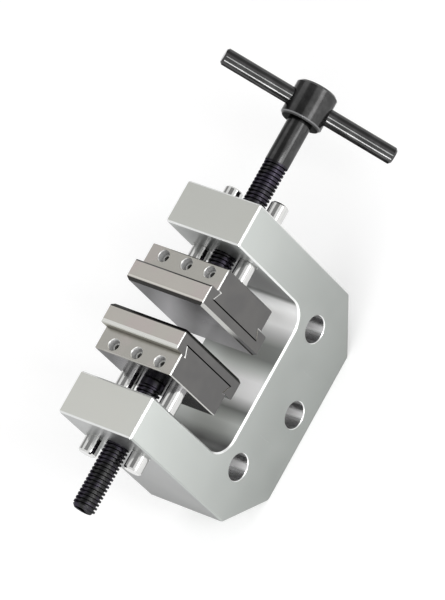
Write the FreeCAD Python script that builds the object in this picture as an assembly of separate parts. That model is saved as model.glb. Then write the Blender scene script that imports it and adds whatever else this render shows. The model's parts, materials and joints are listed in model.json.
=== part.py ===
import FreeCAD, Part
import math
import os

# A tensile test grip: a C-shaped frame with two opposed clamp screws. Each screw pushes a jaw
# that slides on two guide pins, and each jaw carries a plate on a dovetail.
#
# X is the clamping direction, with +X towards the cross handle. Y is the frame's thickness.
# Z is the pull direction. The origin is the centre of the frame's flat back face.
# Left and right are as seen from the front, looking along +Y. All sizes are in millimetres.

# C-frame
FRAME_LENGTH = 130.0
FRAME_THICKNESS = 47.0
FRAME_DEPTH = 118.0
ARM_WIDTH = 23.0
SPINE_DEPTH = 47.5
CORNER_CHAMFER = 24.0
THROAT_RADIUS = 12.0
FRAME_EDGE_BREAK = 0.8

# Cross holes through the frame's spine
MOUNT_HOLE_DIAMETER = 14.0
SIDE_HOLE_SPACING = 78.0
SIDE_HOLE_HEIGHT = 34.3
CENTRE_HOLE_HEIGHT = 15.3
HOLE_MOUTH_CHAMFER = 0.4

# Clamp screws
SCREW_BELOW_ARM_ENDS = 24.0
SCREW_DIAMETER = 12.0
SCREW_RUNNING_CLEARANCE = 0.05
SCREW_TIP_CHAMFER = 1.5
JOURNAL_DIAMETER = 9.5
JOURNAL_LENGTH = 11.5
JOURNAL_RUNNING_CLEARANCE = 0.05
JOURNAL_END_CLEARANCE = 0.3
JOURNAL_END_CHAMFER = 0.8
SHOULDER_CLEARANCE = 0.1
LEFT_SCREW_LENGTH = 71.5
RIGHT_SCREW_LENGTH = 64.0
SHANK_DIAMETER = 12.4
SHANK_LENGTH = 23.6
HEAD_DIAMETER = 22.0
HEAD_LENGTH = 19.0
HEAD_CHAMFER = 1.2

# Cross bar of the handle
BAR_DIAMETER = 9.0
BAR_LENGTH = 96.4
BAR_END_CHAMFER = 1.0
BAR_TURN_DEG = 45.0

# Guide pins
PIN_DIAMETER = 9.5
PIN_SPACING = 29.4
PIN_LENGTH = 57.2
PIN_SEAT_DEPTH = 12.0
PIN_SLIDING_CLEARANCE = 0.05
PIN_SEAT_CLEARANCE = 0.02
PIN_END_CHAMFER = 0.8

# Jaws: both faces stand open by these amounts from the middle of the frame
RIGHT_OPENING = 7.2
LEFT_OPENING = 6.1
JAW_WIDTH = 49.0

# Jaw plates
PLATE_HEIGHT = 56.0
PLATE_THICKNESS = 11.0
PLATE_FACE_CHAMFER = 1.5
PLATE_BACK_CHAMFER = 0.9
PLATE_SIDE_BREAK = 0.4

# Dovetail between a plate and its carrier
GROOVE_DEPTH = 5.1
GROOVE_MOUTH = 39.2
DOVETAIL_ANGLE_DEG = 60.0
DOVETAIL_SIDE_CLEARANCE = 0.05
DOVETAIL_TIP_GAP = 0.5

# Carriers
CARRIER_HEIGHT = 45.0
CARRIER_DEPTH = 11.7
CARRIER_EDGE_BREAK = 0.5

# Set screws that lock the pins and hold the clamp screw in each carrier
SET_SCREW_DIAMETER = 6.0
SET_SCREW_LENGTH = 16.0
SET_SCREW_THREAD_CLEARANCE = 0.03
SET_SCREW_SETBACK = 4.5
SET_SCREW_END_CHAMFER = 0.6
DOG_POINT_DIAMETER = 4.0
DOG_POINT_LENGTH = 3.0
DOG_POINT_ENGAGEMENT = 1.8
DOG_SEAT_CLEARANCE = 0.1
SOCKET_WIDTH = 3.0
SOCKET_DEPTH = 3.5
SCREW_HOLE_COUNTERSINK = 0.3

# Sprung detents that centre each plate on its carrier
DETENT_DROP = 14.0
DETENT_SLEEVE_DIAMETER = 5.0
DETENT_SLEEVE_LENGTH = 8.0
DETENT_SLEEVE_FLOOR = 0.8
DETENT_PLUNGER_DIAMETER = 3.4
DETENT_PLUNGER_LENGTH = 4.2
DETENT_PLUNGER_CLEARANCE = 0.05
DETENT_NOSE_STANDOUT = 1.0
DETENT_NOSE_LENGTH = 1.2
DETENT_NOSE_TIP_RADIUS = 0.5
DETENT_SEAT_CLEARANCE = 0.05

# Places that follow from the sizes above
HALF_LENGTH = FRAME_LENGTH / 2
SCREW_HEIGHT = FRAME_DEPTH - SCREW_BELOW_ARM_ENDS
ARM_INNER = HALF_LENGTH - ARM_WIDTH
SHOULDER = PLATE_THICKNESS
CARRIER_BACK = SHOULDER + CARRIER_DEPTH
GROOVE_FLOOR = PLATE_THICKNESS - GROOVE_DEPTH
TAIL_TIP = GROOVE_FLOOR + DOVETAIL_TIP_GAP
SCREW_SHOULDER = CARRIER_BACK + SHOULDER_CLEARANCE
SET_SCREW_PLACE = CARRIER_BACK - SET_SCREW_SETBACK
PIN_DOG_TIP = PIN_DIAMETER / 2 - DOG_POINT_ENGAGEMENT
JOURNAL_DOG_TIP = JOURNAL_DIAMETER / 2 - DOG_POINT_ENGAGEMENT
FLANK_SLOPE = 1 / math.tan(math.radians(DOVETAIL_ANGLE_DEG))
NOSE_TIP = TAIL_TIP - DETENT_NOSE_STANDOUT

X_AXIS = FreeCAD.Vector(1, 0, 0)
Y_AXIS = FreeCAD.Vector(0, 1, 0)
Z_AXIS = FreeCAD.Vector(0, 0, 1)
ORIGIN = FreeCAD.Vector(0, 0, 0)
# The margin by which a cutting tool runs past the face that it opens
OVERRUN = 1.0


def point(x, z):
    """A point of a profile in the XZ plane."""
    return FreeCAD.Vector(x, 0, z)


def prism(points, width):
    """A closed straight-sided XZ outline, extruded to both sides of y = 0."""
    wire = Part.makePolygon(points + [points[0]])
    face = Part.Face(wire)
    face.translate(FreeCAD.Vector(0, -width / 2, 0))
    return face.extrude(FreeCAD.Vector(0, width, 0))


def turned(stations):
    """A turned piece on the X axis from (place, radius) stations, closed on the axis."""
    first = stations[0][0]
    last = stations[-1][0]
    outline = [point(first, 0)]
    outline += [point(place, radius) for place, radius in stations]
    outline += [point(last, 0), point(first, 0)]
    face = Part.Face(Part.makePolygon(outline))
    return face.revolve(ORIGIN, X_AXIS, 360)


def rod(diameter, start, length, axis):
    """A plain round bar along an axis, used as a piece or as a drill."""
    return Part.makeCylinder(diameter / 2, length, start, axis)


def chamfered_rod(diameter, start, length, chamfer):
    """A round bar along X with both ends chamfered."""
    radius = diameter / 2
    end = start + length
    return turned([
        (start, radius - chamfer),
        (start + chamfer, radius),
        (end - chamfer, radius),
        (end, radius - chamfer),
    ])


def mouth_cone(diameter, chamfer, centre, outward):
    """The cutter for the small chamfer at a hole's mouth, wide end outward."""
    start = centre - outward * chamfer
    wide = diameter / 2 + chamfer
    cone = Part.makeCone(diameter / 2, wide, chamfer, start, outward)
    return cone.fuse(Part.makeCylinder(wide, OVERRUN, centre, outward))


def frame_outline():
    """The C outline in the XZ plane, with round throat corners and 45 degree outer corners."""
    left = -HALF_LENGTH
    right = HALF_LENGTH
    inner = ARM_INNER
    top = FRAME_DEPTH
    floor = SPINE_DEPTH
    radius = THROAT_RADIUS
    sagitta = radius * (1 - math.sqrt(0.5))
    right_arc = Part.Arc(
        point(inner, floor + radius),
        point(inner - sagitta, floor + sagitta),
        point(inner - radius, floor),
    )
    left_arc = Part.Arc(
        point(radius - inner, floor),
        point(sagitta - inner, floor + sagitta),
        point(-inner, floor + radius),
    )
    straight = [
        (point(left + CORNER_CHAMFER, 0), point(right - CORNER_CHAMFER, 0)),
        (point(right - CORNER_CHAMFER, 0), point(right, CORNER_CHAMFER)),
        (point(right, CORNER_CHAMFER), point(right, top)),
        (point(right, top), point(inner, top)),
        (point(inner, top), point(inner, floor + radius)),
    ]
    across = (point(inner - radius, floor), point(radius - inner, floor))
    back_up = [
        (point(-inner, floor + radius), point(-inner, top)),
        (point(-inner, top), point(left, top)),
        (point(left, top), point(left, CORNER_CHAMFER)),
        (point(left, CORNER_CHAMFER), point(left + CORNER_CHAMFER, 0)),
    ]
    edges = [Part.LineSegment(a, b).toShape() for a, b in straight]
    edges.append(right_arc.toShape())
    edges.append(Part.LineSegment(*across).toShape())
    edges.append(left_arc.toShape())
    edges += [Part.LineSegment(a, b).toShape() for a, b in back_up]
    return Part.Wire(edges)


def is_sharp(edge):
    """True for an edge of the frame that isn't the smooth run of the throat into its corner."""
    if edge.BoundBox.YLength < FRAME_THICKNESS / 2:
        return True
    place = edge.CenterOfMass
    at_floor = abs(place.z - SPINE_DEPTH) < OVERRUN
    at_wall = abs(place.z - SPINE_DEPTH - THROAT_RADIUS) < OVERRUN and abs(place.x) > ARM_INNER - OVERRUN
    return not (at_floor or (at_wall and abs(place.x) < ARM_INNER + OVERRUN))


def pin_places():
    """The Y place of the front and back guide pin."""
    return {"front": -PIN_SPACING / 2, "back": PIN_SPACING / 2}


def make_frame():
    """The one-piece C-frame with its cross holes, screw threads and pin bores."""
    face = Part.Face(frame_outline())
    face.translate(FreeCAD.Vector(0, -FRAME_THICKNESS / 2, 0))
    body = face.extrude(FreeCAD.Vector(0, FRAME_THICKNESS, 0))
    sharp = [edge for edge in body.Edges if is_sharp(edge)]
    body = body.makeChamfer(FRAME_EDGE_BREAK, sharp)
    cuts = []
    for x, z in cross_hole_places():
        start = FreeCAD.Vector(x, -FRAME_THICKNESS / 2 - OVERRUN, z)
        cuts.append(rod(MOUNT_HOLE_DIAMETER, start, FRAME_THICKNESS + 2 * OVERRUN, Y_AXIS))
        for side in (-1, 1):
            mouth = FreeCAD.Vector(x, side * FRAME_THICKNESS / 2, z)
            cuts.append(mouth_cone(MOUNT_HOLE_DIAMETER, HOLE_MOUTH_CHAMFER, mouth, Y_AXIS * side))
    bores = [(0.0, SCREW_DIAMETER + 2 * SCREW_RUNNING_CLEARANCE)]
    for y in pin_places().values():
        bores.append((y, PIN_DIAMETER + 2 * PIN_SLIDING_CLEARANCE))
    for y, diameter in bores:
        for side in (-1, 1):
            start = FreeCAD.Vector(side * (ARM_INNER - OVERRUN), y, SCREW_HEIGHT)
            cuts.append(rod(diameter, start, ARM_WIDTH + 2 * OVERRUN, X_AXIS * side))
            for place, outward in ((HALF_LENGTH, side), (ARM_INNER, -side)):
                mouth = FreeCAD.Vector(side * place, y, SCREW_HEIGHT)
                cuts.append(mouth_cone(diameter, HOLE_MOUTH_CHAMFER, mouth, X_AXIS * outward))
    return body.cut(cuts)


def cross_hole_places():
    """The X and Z place of each cross hole: one on the pull axis and one towards each arm."""
    return [
        (-SIDE_HOLE_SPACING / 2, SIDE_HOLE_HEIGHT),
        (0.0, CENTRE_HOLE_HEIGHT),
        (SIDE_HOLE_SPACING / 2, SIDE_HOLE_HEIGHT),
    ]


# Each jaw is modelled with its gripping face on x = 0 and its screw axis on z = 0, looking
# along +X away from the specimen. place_jaw then sets it in the frame on either side.


def place_jaw(shape, side):
    """A jaw piece moved to its side of the frame; the left one is turned about Z."""
    placed = shape.copy()
    opening = RIGHT_OPENING
    if side < 0:
        placed.rotate(ORIGIN, Z_AXIS, 180)
        opening = LEFT_OPENING
    placed.translate(FreeCAD.Vector(side * opening, 0, SCREW_HEIGHT))
    return placed


def make_plate():
    """The jaw plate: a flat gripping face, chamfered all round, and a dovetail groove behind."""
    half = PLATE_HEIGHT / 2
    mouth = GROOVE_MOUTH / 2
    floor = mouth + GROOVE_DEPTH * FLANK_SLOPE
    back = PLATE_THICKNESS
    block = prism([point(0, -half), point(back, -half), point(back, half), point(0, half)], JAW_WIDTH)
    face_edges = [edge for edge in block.Edges if edge.BoundBox.XMax < back / 2]
    block = block.makeChamfer(PLATE_FACE_CHAMFER, face_edges)
    corners = [edge for edge in block.Edges if edge.BoundBox.XLength > back / 2]
    block = block.makeChamfer(PLATE_SIDE_BREAK, corners)
    back_edges = [edge for edge in block.Edges if is_long_back_edge(edge, back, half)]
    block = block.makeChamfer(PLATE_BACK_CHAMFER, back_edges)
    groove = prism([
        point(back + OVERRUN, mouth - OVERRUN * FLANK_SLOPE),
        point(GROOVE_FLOOR, floor),
        point(GROOVE_FLOOR, -floor),
        point(back + OVERRUN, OVERRUN * FLANK_SLOPE - mouth),
    ], JAW_WIDTH + 2 * OVERRUN)
    return block.cut([groove, detent_seat()])


def is_long_back_edge(edge, back, half):
    """True for the two edges along Y at the plate's back, above and below the groove."""
    box = edge.BoundBox
    along = box.YLength > JAW_WIDTH / 2
    return along and box.XMin > back - OVERRUN and abs(edge.CenterOfMass.z) > half - OVERRUN


def tail_profile():
    """The carrier's outline: a block with a dovetail tail towards the plate."""
    half = CARRIER_HEIGHT / 2
    side_gap = DOVETAIL_SIDE_CLEARANCE / math.sin(math.radians(DOVETAIL_ANGLE_DEG))
    neck = GROOVE_MOUTH / 2 - side_gap
    tip = neck + (SHOULDER - TAIL_TIP) * FLANK_SLOPE
    return [
        point(CARRIER_BACK, -half),
        point(CARRIER_BACK, half),
        point(SHOULDER, half),
        point(SHOULDER, neck),
        point(TAIL_TIP, tip),
        point(TAIL_TIP, -tip),
        point(SHOULDER, -neck),
        point(SHOULDER, -half),
    ]


def is_carrier_break(edge):
    """True for the carrier's outer edges along Y and for the edges round its ends, except the tail's tip."""
    box = edge.BoundBox
    if box.YLength < OVERRUN:
        return box.XMax > TAIL_TIP + CARRIER_EDGE_BREAK
    at_level = abs(edge.CenterOfMass.z) > CARRIER_HEIGHT / 2 - CARRIER_EDGE_BREAK
    return at_level and edge.CenterOfMass.x > CARRIER_BACK - CARRIER_EDGE_BREAK


def make_carrier():
    """The carrier block with its tail, blind bores for screw and pins, and set-screw holes."""
    block = prism(tail_profile(), JAW_WIDTH)
    block = block.makeChamfer(CARRIER_EDGE_BREAK, [edge for edge in block.Edges if is_carrier_break(edge)])
    cuts = [rod(
        JOURNAL_DIAMETER + 2 * JOURNAL_RUNNING_CLEARANCE,
        point(SCREW_SHOULDER - JOURNAL_LENGTH - JOURNAL_END_CLEARANCE, 0),
        JOURNAL_LENGTH + JOURNAL_END_CLEARANCE + OVERRUN,
        X_AXIS,
    )]
    for y in [0.0] + list(pin_places().values()):
        hole = SET_SCREW_DIAMETER + 2 * SET_SCREW_THREAD_CLEARANCE
        mouth = FreeCAD.Vector(SET_SCREW_PLACE, y, CARRIER_HEIGHT / 2)
        start = FreeCAD.Vector(SET_SCREW_PLACE, y, 0)
        cuts.append(rod(hole, start, CARRIER_HEIGHT, Z_AXIS))
        cuts.append(mouth_cone(hole, SCREW_HOLE_COUNTERSINK, mouth, Z_AXIS))
    for y in pin_places().values():
        start = FreeCAD.Vector(CARRIER_BACK - PIN_SEAT_DEPTH, y, 0)
        cuts.append(rod(PIN_DIAMETER + 2 * PIN_SEAT_CLEARANCE, start, PIN_SEAT_DEPTH + OVERRUN, X_AXIS))
    start = point(TAIL_TIP - OVERRUN, -DETENT_DROP)
    cuts.append(rod(DETENT_SLEEVE_DIAMETER, start, DETENT_SLEEVE_LENGTH + OVERRUN, X_AXIS))
    return block.cut(cuts)


def make_pin(y):
    """A guide pin with chamfered ends and a drilled seat for its set screw."""
    pin = chamfered_rod(PIN_DIAMETER, CARRIER_BACK - PIN_SEAT_DEPTH, PIN_LENGTH, PIN_END_CHAMFER)
    seat = rod(
        DOG_POINT_DIAMETER + 2 * DOG_SEAT_CLEARANCE,
        point(SET_SCREW_PLACE, PIN_DOG_TIP),
        PIN_DIAMETER,
        Z_AXIS,
    )
    pin = pin.cut(seat)
    pin.translate(Y_AXIS * y)
    return pin


def make_set_screw(y, tip_height):
    """A hexagon-socket set screw with a dog point, its tip down."""
    radius = SET_SCREW_DIAMETER / 2
    dog = DOG_POINT_DIAMETER / 2
    chamfer = SET_SCREW_END_CHAMFER
    screw = turned([
        (0, dog),
        (DOG_POINT_LENGTH, dog),
        (DOG_POINT_LENGTH + radius - dog, radius),
        (SET_SCREW_LENGTH - chamfer, radius),
        (SET_SCREW_LENGTH, radius - chamfer),
    ])
    corner = SOCKET_WIDTH / math.sqrt(3)
    hexagon = []
    for number in range(6):
        angle = math.radians(60 * number)
        hexagon.append(FreeCAD.Vector(0, corner * math.cos(angle), corner * math.sin(angle)))
    socket = Part.Face(Part.makePolygon(hexagon + [hexagon[0]]))
    socket.translate(X_AXIS * (SET_SCREW_LENGTH - SOCKET_DEPTH))
    screw = screw.cut(socket.extrude(X_AXIS * (SOCKET_DEPTH + OVERRUN)))
    screw.rotate(ORIGIN, Y_AXIS, -90)
    screw.translate(FreeCAD.Vector(SET_SCREW_PLACE, y, tip_height))
    return screw


def journal_stations():
    """The turned end of a clamp screw inside the carrier: end, retaining groove and shoulder."""
    radius = JOURNAL_DIAMETER / 2
    end = SCREW_SHOULDER - JOURNAL_LENGTH
    half_groove = DOG_POINT_DIAMETER / 2 + DOG_SEAT_CLEARANCE
    groove_radius = radius - DOG_POINT_ENGAGEMENT - DOG_SEAT_CLEARANCE
    return [
        (end, radius - JOURNAL_END_CHAMFER),
        (end + JOURNAL_END_CHAMFER, radius),
        (SET_SCREW_PLACE - half_groove, radius),
        (SET_SCREW_PLACE - half_groove, groove_radius),
        (SET_SCREW_PLACE + half_groove, groove_radius),
        (SET_SCREW_PLACE + half_groove, radius),
        (SCREW_SHOULDER, radius),
        (SCREW_SHOULDER, SCREW_DIAMETER / 2),
    ]


def make_left_screw():
    """The headless clamp screw: journal, thread and chamfered tip."""
    radius = SCREW_DIAMETER / 2
    tip = SCREW_SHOULDER + LEFT_SCREW_LENGTH
    return turned(journal_stations() + [
        (tip - SCREW_TIP_CHAMFER, radius),
        (tip, radius - SCREW_TIP_CHAMFER),
    ])


def handle_place():
    """The place of the cross bar's axis along the right clamp screw."""
    return SCREW_SHOULDER + RIGHT_SCREW_LENGTH + SHANK_LENGTH + HEAD_LENGTH / 2


def make_right_screw():
    """The clamp screw with a plain shank and a cross-drilled head, turned in one piece."""
    shank = SCREW_SHOULDER + RIGHT_SCREW_LENGTH
    head = shank + SHANK_LENGTH
    top = head + HEAD_LENGTH
    screw_radius = SCREW_DIAMETER / 2
    shank_radius = SHANK_DIAMETER / 2
    head_radius = HEAD_DIAMETER / 2
    screw = turned(journal_stations() + [
        (shank, screw_radius),
        (shank, shank_radius),
        (head, shank_radius),
        (head, head_radius - HEAD_CHAMFER),
        (head + HEAD_CHAMFER, head_radius),
        (top - HEAD_CHAMFER, head_radius),
        (top, head_radius - HEAD_CHAMFER),
    ])
    drill = rod(BAR_DIAMETER, point(handle_place(), -HEAD_DIAMETER), 2 * HEAD_DIAMETER, Z_AXIS)
    drill.rotate(point(handle_place(), 0), X_AXIS, -BAR_TURN_DEG)
    return screw.cut(drill)


def make_bar():
    """The cross bar, pressed through the head and turned about the screw's axis."""
    bar = chamfered_rod(BAR_DIAMETER, -BAR_LENGTH / 2, BAR_LENGTH, BAR_END_CHAMFER)
    bar.rotate(ORIGIN, Y_AXIS, -90)
    bar.rotate(ORIGIN, X_AXIS, -BAR_TURN_DEG)
    bar.translate(point(handle_place(), 0))
    return bar


def detent_nose(tip, clearance):
    """The stations of a detent's cone, from its tip to where it is as wide as the plunger."""
    return [
        (tip, DETENT_NOSE_TIP_RADIUS + clearance),
        (tip + DETENT_NOSE_LENGTH, DETENT_PLUNGER_DIAMETER / 2 + clearance),
    ]


def detent_seat():
    """The cutter for the cone in the plate's groove that the detent's nose snaps into."""
    clearance = DETENT_SEAT_CLEARANCE
    seat = turned(detent_nose(NOSE_TIP - clearance, clearance))
    seat.translate(Z_AXIS * -DETENT_DROP)
    return seat


def make_detent_plunger():
    """The hard pin with a cone nose that stands out of the carrier's tail."""
    radius = DETENT_PLUNGER_DIAMETER / 2
    plunger = turned(detent_nose(NOSE_TIP, 0) + [(NOSE_TIP + DETENT_PLUNGER_LENGTH, radius)])
    plunger.translate(Z_AXIS * -DETENT_DROP)
    return plunger


def make_detent_sleeve():
    """The pressed-in sleeve in which a detent's plunger slides, closed behind."""
    start = point(TAIL_TIP, 0)
    sleeve = rod(DETENT_SLEEVE_DIAMETER, start, DETENT_SLEEVE_LENGTH, X_AXIS)
    bore = DETENT_PLUNGER_DIAMETER + 2 * DETENT_PLUNGER_CLEARANCE
    sleeve = sleeve.cut(rod(bore, start, DETENT_SLEEVE_LENGTH - DETENT_SLEEVE_FLOOR, X_AXIS))
    sleeve.translate(Z_AXIS * -DETENT_DROP)
    return sleeve


def make_detent_cushion():
    """The rubber cushion behind a detent's plunger, which is its spring."""
    start = NOSE_TIP + DETENT_PLUNGER_LENGTH
    length = TAIL_TIP + DETENT_SLEEVE_LENGTH - DETENT_SLEEVE_FLOOR - start
    return rod(DETENT_PLUNGER_DIAMETER, point(start, -DETENT_DROP), length, X_AXIS)


def jaw_pieces():
    """The pieces that both jaws have, by name, in the jaw's own place."""
    pieces = {
        "carrier": make_carrier(),
        "jaw_plate": make_plate(),
        "screw_retainer": make_set_screw(0.0, JOURNAL_DOG_TIP),
        "detent_sleeve": make_detent_sleeve(),
        "detent_plunger": make_detent_plunger(),
        "detent_cushion": make_detent_cushion(),
    }
    for name, y in pin_places().items():
        pieces["guide_pin_" + name] = make_pin(y)
        pieces["pin_screw_" + name] = make_set_screw(y, PIN_DOG_TIP)
    return pieces


def all_pieces():
    """Every piece of the grip in its place, by name."""
    pieces = {"c_frame": make_frame()}
    for name, shape in jaw_pieces().items():
        for side_name, side in (("right_", 1), ("left_", -1)):
            if name.startswith(("guide_pin", "pin_screw")) and side < 0:
                # The left jaw is the right one turned about Z, so front and back change places
                name_there = swap_front_and_back(name)
            else:
                name_there = name
            pieces[side_name + name_there] = place_jaw(shape, side)
    pieces["right_clamp_screw"] = place_jaw(make_right_screw(), 1)
    pieces["cross_bar"] = place_jaw(make_bar(), 1)
    pieces["left_clamp_screw"] = place_jaw(make_left_screw(), -1)
    return pieces


def swap_front_and_back(name):
    """The name of the piece at the other side in Y."""
    if name.endswith("front"):
        return name.replace("front", "back")
    return name.replace("back", "front")


def main():
    """Builds the pieces and writes each as its own file."""
    os.makedirs("parts", exist_ok=True)
    for name, shape in all_pieces().items():
        if not shape.isValid():
            raise ValueError(name + " is not a valid solid")
        shape.exportStep("parts/" + name + ".step")
        box = shape.BoundBox
        print(name, "solids", len(shape.Solids), "volume", round(shape.Volume, 1),
              "x", round(box.XMin, 2), round(box.XMax, 2),
              "y", round(box.YMin, 2), round(box.YMax, 2),
              "z", round(box.ZMin, 2), round(box.ZMax, 2))


main()
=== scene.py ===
"""Looks of a tensile test grip: finishes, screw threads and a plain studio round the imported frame."""

import json
import logging
import math
from dataclasses import dataclass, field
from enum import Enum
from typing import Any, ClassVar, Optional, Sequence, Union

import bmesh
import bpy
from mathutils import Matrix, Vector

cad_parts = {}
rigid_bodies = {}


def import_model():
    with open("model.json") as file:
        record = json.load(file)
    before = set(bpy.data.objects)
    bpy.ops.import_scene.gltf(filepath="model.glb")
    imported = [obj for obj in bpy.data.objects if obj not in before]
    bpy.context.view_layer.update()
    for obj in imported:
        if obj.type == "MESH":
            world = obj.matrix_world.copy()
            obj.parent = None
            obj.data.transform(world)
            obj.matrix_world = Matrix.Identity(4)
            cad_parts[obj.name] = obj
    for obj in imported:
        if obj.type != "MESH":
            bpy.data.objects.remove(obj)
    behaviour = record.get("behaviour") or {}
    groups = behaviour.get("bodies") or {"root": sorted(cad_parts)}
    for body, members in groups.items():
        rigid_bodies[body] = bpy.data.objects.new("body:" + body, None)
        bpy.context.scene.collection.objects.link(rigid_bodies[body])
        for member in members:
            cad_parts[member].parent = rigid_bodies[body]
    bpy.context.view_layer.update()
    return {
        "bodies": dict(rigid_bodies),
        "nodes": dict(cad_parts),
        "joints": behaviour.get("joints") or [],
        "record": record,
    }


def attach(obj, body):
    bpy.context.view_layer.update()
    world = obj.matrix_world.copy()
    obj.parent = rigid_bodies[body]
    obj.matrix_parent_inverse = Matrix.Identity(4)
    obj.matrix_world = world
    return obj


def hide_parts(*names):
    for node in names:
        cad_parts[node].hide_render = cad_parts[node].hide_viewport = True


LOG = logging.getLogger("test_grip")
MM = 0.001

Colour = tuple[float, float, float]


class Side(Enum):
    """The two jaws' sides, as seen from the front."""

    RIGHT = 1
    LEFT = -1

    @property
    def label(self) -> str:
        """The side's name in the frame's node names."""
        return self.name.lower()


class Wire:
    """One output of a shader node, which Python expressions can work on."""

    def __init__(self, board: "Board", socket: bpy.types.NodeSocket) -> None:
        """Keeps the socket.

        Args:
            board: the material's board that new nodes go on.
            socket: the output socket.
        """
        self.board = board
        self.socket = socket

    def __add__(self, other: "Value") -> "Wire":
        """The sum."""
        return self.board.math("ADD", self, other)

    def __radd__(self, other: "Value") -> "Wire":
        """The sum, with the number first."""
        return self.board.math("ADD", other, self)

    def __sub__(self, other: "Value") -> "Wire":
        """The difference."""
        return self.board.math("SUBTRACT", self, other)

    def __rsub__(self, other: "Value") -> "Wire":
        """The difference, with the number first."""
        return self.board.math("SUBTRACT", other, self)

    def __mul__(self, other: "Value") -> "Wire":
        """The product."""
        return self.board.math("MULTIPLY", self, other)

    def __rmul__(self, other: "Value") -> "Wire":
        """The product, with the number first."""
        return self.board.math("MULTIPLY", other, self)

    def __abs__(self) -> "Wire":
        """The value without its sign."""
        return self.board.math("ABSOLUTE", self)

    def larger(self, other: "Value") -> "Wire":
        """The larger of two values."""
        return self.board.math("MAXIMUM", self, other)

    def rise(self, low: float, high: float) -> "Wire":
        """A smooth step.

        Args:
            low: the value at which the result is 0.
            high: the value at which the result is 1.

        Returns:
            The step, between 0 and 1.
        """
        node = self.board.node(
            "ShaderNodeMapRange",
            {"interpolation_type": "SMOOTHSTEP", "clamp": True},
            {"Value": self, "From Min": low, "From Max": high, "To Min": 0.0, "To Max": 1.0},
        )
        return Wire(self.board, node.outputs["Result"])

    def within(self, low: float, high: float, soft: float) -> "Wire":
        """A mask that is 1 between two values.

        Args:
            low: the lower value.
            high: the upper value.
            soft: the width of each edge of the mask.

        Returns:
            The mask, between 0 and 1.
        """
        return self.rise(low - soft, low + soft) * (1 - self.rise(high - soft, high + soft))


Value = Union[float, Wire]
Axes = dict[str, Wire]


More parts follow.
